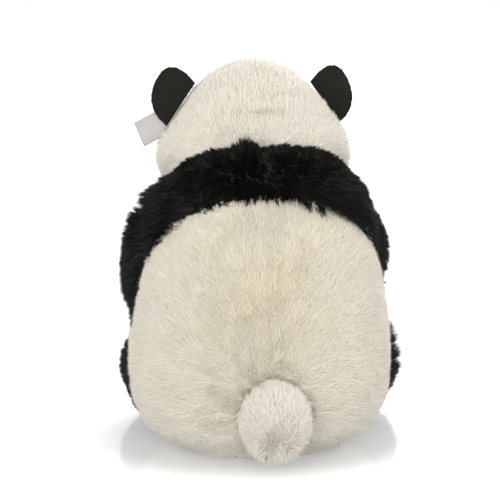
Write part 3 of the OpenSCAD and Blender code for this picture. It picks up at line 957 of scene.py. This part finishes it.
def leg_length(hip):
    """Thicker pile on the outer side of one leg than of the other, most of all at the hip and low down."""
    def length(points, normals):
        outer = np.clip(normals[:, 0] * math.copysign(1, hip.x), 0, 1)
        if hip.x > 0:
            return near_floor(0.6)(points, normals) * (0.9 - 0.1 * outer)
        low = fall(points[:, 2], 0.03, 0.02)
        high = ramp(points[:, 2], 0.055, 0.025) * np.minimum(outer * 2, 1)
        return 0.9 + (0.66 + 0.8 * low) * outer - 0.35 * low * (1 - outer) + 0.85 * high
    return length


def leg_flow(hip, sole):
    """Along the leg, and outwards from its underside."""
    along = limb_flow(hip, sole)
    out = np.array([math.copysign(1, hip.x), 0, 1])
    return lambda points, normals: along(points, normals) + out * np.clip(-1.3 * normals[:, 2:], 0, 1)


class PANDA_OT_legs(bpy.types.Operator):
    """Both legs with their soles."""
    bl_idname = "panda.legs"
    bl_label = "Legs"

    def execute(self, context):
        for side in ("left", "right"):
            skin, sole = panels = [f"leg_{side}_skin", f"leg_{side}_sole"]
            form = stuffed_form(panels, f"leg_{side}_stuffing", settings("forms").voxel)
            press_channels(form, panels, settings("forms").channel)
            hip = Vector(JOINTS[f"hip_{side}"]["pos_m"])
            comb(form, leg_flow(hip, middle_of(sole)), leg_length(hip), constant(0.5),
                 TORSO_PANELS + ARM_SKINS)
            short = {**DARK_PILE, "Length": settings("pile").length * 0.45}
            dress(form, f"leg_{side}", panels, {sole: short, skin: {"share": 0.7, **DARK_PILE}}, "dark")
        return {"FINISHED"}


def tail_flow(points, normals):
    """Pile lies flat and upwards like the back's, and hangs from the underside."""
    flat, underside = 1.9, -0.82
    across = (points[:, 0] - TAIL_MIDDLE.x) * 20
    rise = flat * np.tanh((normals[:, 2] - underside) / 0.06)
    return np.column_stack([across, np.zeros(len(across)), rise])


def tail_length(points, normals):
    return 0.95 + 0.2 * np.abs(normals[:, 2])


class PANDA_OT_tail(bpy.types.Operator):
    """Pompom tail with long loose pile."""
    bl_idname = "panda.tail"
    bl_label = "Tail"

    def execute(self, context):
        form = stuffed_form(["tail_skin"], "tail_stuffing", 0.005)
        sink(form, ["tail_skin"], [0.005])
        comb(form, tail_flow, tail_length, cloud_tone, ["back_left", "back_right"], clear=0.001, reach=0.005,
             push=0.2)
        pile = {**PALE_PILE, "Swirl": 1.2, "Swirl Scale": 55.0, "Mess": 0.45, "Gather": 0.5, "share": 1.3}
        dress(form, "tail", ["tail_skin"], {"tail_skin": pile}, "tail")
        return {"FINISHED"}


# ---- ears and label ----
def rim_groove(points, normals):
    """Depth of the line of the seam, a little inside the rim of an ear's layer."""
    depth, inset, width = 0.0005, 0.003, 0.001
    rim = np.abs(normals[:, 1]) < 0.45
    return depth * hump(gaps_to(points, points[rim]), inset, width)


class PANDA_OT_ears(bpy.types.Operator):
    """Suede ears: two layers each, sewn round the rim."""
    bl_idname = "panda.ears"
    bl_label = "Ears"

    def execute(self, context):
        for side in ("left", "right"):
            for name in (f"ear_{side}_back", f"ear_{side}_front"):
                form = padded_form([name], 0.0012, 4)
                form.name = "suede_" + name
                press_in(form, rim_groove)
                finish_piece(form, "suede", f"ear_{side}", name)
        return {"FINISHED"}


def label_corners():
    """Corners of the label's middle plane: seam low, fold low, seam high, fold high, and its normal."""
    mesh = frame["nodes"]["label"].data
    broad = max(mesh.polygons, key=lambda face: face.area * (face.normal.y > 0))
    normal = broad.normal.copy()
    heights = [normal.dot(v.co) for v in mesh.vertices]
    low, level = min(heights), max(heights)
    spots = {tuple(round(c, 5) for c in v.co) for v in mesh.vertices if normal.dot(v.co) > level - 0.0003}
    hinge = Vector(JOINTS["label_flap"]["pos_m"])
    along = Vector(JOINTS["label_flap"]["axis"]).normalized()
    spots = sorted((Vector(spot) for spot in spots), key=lambda spot: (spot - hinge).cross(along).length)
    seam, fold = sorted(spots[:2], key=lambda spot: spot.z), sorted(spots[2:], key=lambda spot: spot.z)
    sunk = normal * ((level - low) / 2)
    return [spot - sunk for spot in (seam[0], fold[0], seam[1], fold[1])], normal


def ribbon_mesh(corners, normal):
    """A ribbon folded double: rows run from one cut end over the fold to the other."""
    low, low_fold, high, high_fold = corners
    rows, columns, leaf, layer = 44, 15, 0.0004, 0.00022
    work = bmesh.new()
    grid = {}
    for row in range(rows + 1):
        turn = row / rows * 2 - 1                      # -1 at one cut end, 0 at the fold, 1 at the other
        along = min(1.0, (1 - abs(turn)) / 0.96)
        bow = math.sin(min(1.0, abs(turn) / 0.04) * math.pi / 2) * math.copysign(1, turn)
        for column in range(columns + 1):
            across = column / columns
            root, tip = low.lerp(high, across), low_fold.lerp(high_fold, across)
            outwards = (tip - root).normalized()
            spot = root.lerp(tip, along) + outwards * leaf * (1 - abs(bow)) * (along >= 1)
            curl = 0.0009 * math.sin(along * 2.6) * (across - 0.4) + 0.0004 * math.sin(along * 5 + 1) * along
            hem = 1.5 if column in (0, columns) else 1.0
            for face in (0, 1):
                thick = layer * hem * (face - 0.5)
                lift = (leaf + thick) * bow + curl
                reach = outwards * thick * (1 - abs(bow))
                grid[row, column, face] = work.verts.new(spot + normal * lift + reach)

    def quad(*keys):
        work.faces.new([grid[key] for key in keys])

    for row in range(rows):
        for column in range(columns):
            square = [(row, column), (row + 1, column), (row + 1, column + 1), (row, column + 1)]
            quad(*[(*spot, 1) for spot in square])
            quad(*[(*spot, 0) for spot in reversed(square)])
    for row in range(rows):
        for column in (0, columns):
            quad((row, column, 0), (row + 1, column, 0), (row + 1, column, 1), (row, column, 1))
    for column in range(columns):
        for row in (0, rows):
            quad((row, column, 0), (row, column + 1, 0), (row, column + 1, 1), (row, column, 1))
    bmesh.ops.recalc_face_normals(work, faces=work.faces)
    return mesh_from(work, "folded_label")


class PANDA_OT_label(bpy.types.Operator):
    """The label beside the left ear: one satin ribbon, folded double and sewn into the seam."""
    bl_idname = "panda.label"
    bl_label = "Label"

    def execute(self, context):
        corners, normal = label_corners()
        ribbon = place("folded_label", ribbon_mesh(corners, normal))
        finish_piece(ribbon, "satin", "label", "label")
        return {"FINISHED"}


# ---- face and filling ----
def tube(work, path, radius, sides=6):
    """A thread along some points, tapered and closed at both ends."""
    rings = []
    for index, spot in enumerate(path):
        way = (path[min(index + 1, len(path) - 1)] - path[max(index - 1, 0)]).normalized()
        side = way.orthogonal().normalized()
        thin = radius * (0.45 if index in (0, len(path) - 1) else 1.0)
        turns = [Matrix.Rotation(2 * math.pi * k / sides, 3, way) @ side * thin for k in range(sides)]
        rings.append([work.verts.new(spot + turn) for turn in turns])
    for near, far in zip(rings, rings[1:]):
        for k in range(sides):
            work.faces.new([near[k], near[(k + 1) % sides], far[(k + 1) % sides], far[k]])
    work.faces.new(list(reversed(rings[0])))
    work.faces.new(rings[-1])


def mouth_line(share):
    """Across and below the nose: one point of two soft bows, share from -1 at one end to 1 at the other."""
    half_width, drop, corners, bow = 0.012, 0.0150, 0.0012, 0.0022
    return half_width * share, corners * share ** 2 - drop + bow * math.cos(share * math.pi * 2)


class PANDA_OT_face(bpy.types.Operator):
    """Plastic eyes and nose with their washers, and the mouth in satin stitch."""
    bl_idname = "panda.face"
    bl_label = "Eyes, nose and mouth"

    def execute(self, context):
        tree = node_tree_of(["muzzle"])
        half_stitch, thread, proud, bulge = 0.0014, 0.00045, 0.0012, 0.0006

        def on_muzzle(x, drop):
            start = Vector((x, NOSE_MIDDLE.y - 0.1, NOSE_MIDDLE.z + drop))
            spot, normal, _, _ = tree.ray_cast(start, Vector((0, 1, 0)))
            if spot is None:
                raise RuntimeError("the mouth misses the muzzle")
            return spot + normal * proud * (-1 if normal.y > 0 else 1)

        work = bmesh.new()
        stitches = [(*mouth_line(k / 22), 0, half_stitch) for k in range(-22, 23)]
        stitches += [(0.0, -0.0085 - 0.0011 * k, half_stitch, 0) for k in range(5)]
        for x, drop, aside, up in stitches:
            path = [on_muzzle(x + aside * t, drop + up * t) - Vector((0, bulge * (1 - t * t), 0))
                    for t in (-1, -0.5, 0, 0.5, 1)]
            tube(work, path, thread)
        bmesh.ops.recalc_face_normals(work, faces=work.faces)
        mouth = place("mouth_stitches", mesh_from(work, "mouth_stitches"))
        finish_piece(mouth, "stitch", "head")
        finish_nodes(["eye_left", "eye_right", "nose"], "glossy_plastic")
        finish_nodes(["eye_washer_left", "eye_washer_right", "nose_washer"], "washer_plastic")
        return {"FINISHED"}


def filling_lumps(points, normals):
    x, y, z = points.T * 1000
    return 0.002 * (1 + 0.5 * np.sin(x / 7 + 1) * np.cos(y / 6) * np.sin(z / 8 + 2))


class PANDA_OT_filling(bpy.types.Operator):
    """Fibre filling inside every stuffed piece, and the neck's thread."""
    bl_idname = "panda.filling"
    bl_label = "Filling"

    def execute(self, context):
        holders = frame["record"]["behaviour"]["bodies"].items()
        bodies = {node: body for body, nodes in holders for node in nodes}
        for name in sorted(node for node in frame["nodes"] if node.endswith("_stuffing")):
            form = padded_form([name], 0.008, 4)
            form.name = "filling_" + name.replace("_stuffing", "")
            press_in(form, filling_lumps)
            finish_piece(form, "filling", bodies[name], name)
        finish_nodes(["neck_thread"], "thread")
        return {"FINISHED"}


# ---- stage ----
def soft_light(name, power, width, spot, aim):
    lamp = bpy.data.lights.new(name, "AREA")
    lamp.shape = "SQUARE"
    lamp.size = width
    lamp.energy = power
    light = place(name, lamp)
    light.location = spot
    light.rotation_euler = (Vector(spot) - Vector(aim)).to_track_quat("Z", "Y").to_euler()


def plain_view(tree):
    """1 for the rays that look at the background, directly or by a reflection, and 0 for light."""
    path = add_node(tree, "ShaderNodeLightPath").outputs
    seen = path["Is Camera Ray"]
    for other in ("Is Glossy Ray", "Is Transmission Ray"):
        seen = calculated(tree, "MAXIMUM", seen, path[other])
    return seen


def floor_look(tree):
    """Glossy white sweep: the camera sees it near white away from the toy, and it keeps the shadow. Its glow is
    dimmer close round the toy, which paints a shadow there.
    """
    # Painted shadow: the glow drops from far to near towards the toy, more at its sides than in front of it.
    near, far = 0.36, 0.75
    spot = add_node(tree, "ShaderNodeTexCoord").outputs["Object"]
    spot = add_node(tree, "ShaderNodeMapping", {
        "Vector": spot, "Location": (0, 0.02, 0), "Scale": (0.8, 1, 1)}).outputs[0]
    away = add_node(tree, "ShaderNodeVectorMath", {0: spot}, operation="LENGTH").outputs["Value"]
    white = add_node(tree, "ShaderNodeMapRange", {
        "Value": away, "From Min": 0.105, "From Max": 0.17, "To Min": near, "To Max": far,
    }, interpolation_type="SMOOTHSTEP").outputs[0]
    glow = calculated(tree, "MULTIPLY", plain_view(tree), white)
    return {"Base Color": (0.45, 0.445, 0.44, 1), "Roughness": 0.13, "Specular IOR Level": 0.5,
            "Emission Color": (1, 1, 1, 1), "Emission Strength": glow}


class PANDA_OT_stage(bpy.types.Operator):
    """White floor, soft studio light and the camera."""
    bl_idname = "panda.stage"
    bl_label = "Stage"

    def execute(self, context):
        look = settings("stage")
        scene = context.scene
        half = 6.0
        corners = [(-half, -half, 0), (half, -half, 0), (half, half, 0), (-half, half, 0)]
        mesh = bpy.data.meshes.new("studio_floor")
        mesh.from_pydata(corners, [], [(0, 1, 2, 3)])
        mesh.materials.append(new_material("studio_floor", floor_look))
        place("studio_floor", mesh)

        a, e = look.azimuth, look.elevation
        back = Vector((math.sin(a) * math.cos(e), -math.cos(a) * math.cos(e), math.sin(e)))
        right = Vector((math.cos(a), math.sin(a), 0))
        up = back.cross(right)
        aim = up * look.up - right * look.across
        camera = place("camera", bpy.data.cameras.new("camera"))
        camera.data.lens = look.lens
        camera.data.clip_start, camera.data.clip_end = 0.1, 30
        camera.matrix_world = Matrix.Translation(aim + back * look.distance) @ Matrix(
            (right, up, back)).transposed().to_4x4()
        scene.camera = camera

        middle = (0, 0, 0.18)
        soft_light("key_light", look.key, 2.2, aim + back * 2.0 + right * -0.35 + up * -0.05, middle)
        soft_light("fill_light", look.fill, 1.6, aim + back * 0.3 + right * 1.9 + up * 0.5, middle)
        soft_light("front_light", look.fill * 1.6, 1.2, (-0.9, -2.0, 1.1), middle)

        scene.world = bpy.data.worlds.new("studio")
        scene.world.use_nodes = True
        sky = scene.world.node_tree
        strength = add_node(sky, "ShaderNodeMapRange", {"Value": plain_view(sky), "To Min": look.world,
                                                        "To Max": 1.0}).outputs[0]
        fill(sky, sky.nodes["Background"].inputs, {"Color": (1, 1, 1, 1), "Strength": strength})
        scene.view_settings.view_transform = "Standard"
        return {"FINISHED"}


class PANDA_PT_panel(bpy.types.Panel):
    """The panda's sizes and steps."""
    bl_idname = "PANDA_PT_panel"
    bl_label = "Plush Panda"
    bl_space_type = "VIEW_3D"
    bl_region_type = "UI"
    bl_category = "Plush Panda"

    def draw(self, context):
        for step in STEPS:
            self.layout.operator(step.bl_idname)
        for group in GROUPS:
            box = self.layout.box()
            for key in GROUPS[group].__annotations__:
                box.prop(getattr(context.scene, "panda_" + group), key)


GROUPS = {"forms": PandaForms, "pile": PandaPile, "colours": PandaColours, "stage": PandaStage}
STEPS = [
    PANDA_OT_stage, PANDA_OT_torso, PANDA_OT_head, PANDA_OT_arms, PANDA_OT_legs, PANDA_OT_tail,
    PANDA_OT_ears, PANDA_OT_label, PANDA_OT_face, PANDA_OT_filling,
]


def register():
    for made in [*GROUPS.values(), *STEPS, PANDA_PT_panel]:
        bpy.utils.register_class(made)
    for name, group in GROUPS.items():
        setattr(bpy.types.Scene, "panda_" + name, PointerProperty(type=group))


def unregister():
    for name in GROUPS:
        delattr(bpy.types.Scene, "panda_" + name)
    for made in reversed([*GROUPS.values(), *STEPS, PANDA_PT_panel]):
        bpy.utils.unregister_class(made)


def main():
    register()
    for step in STEPS:
        group, name = step.bl_idname.split(".")
        getattr(getattr(bpy.ops, group), name)()


if __name__ == "__main__":
    main()
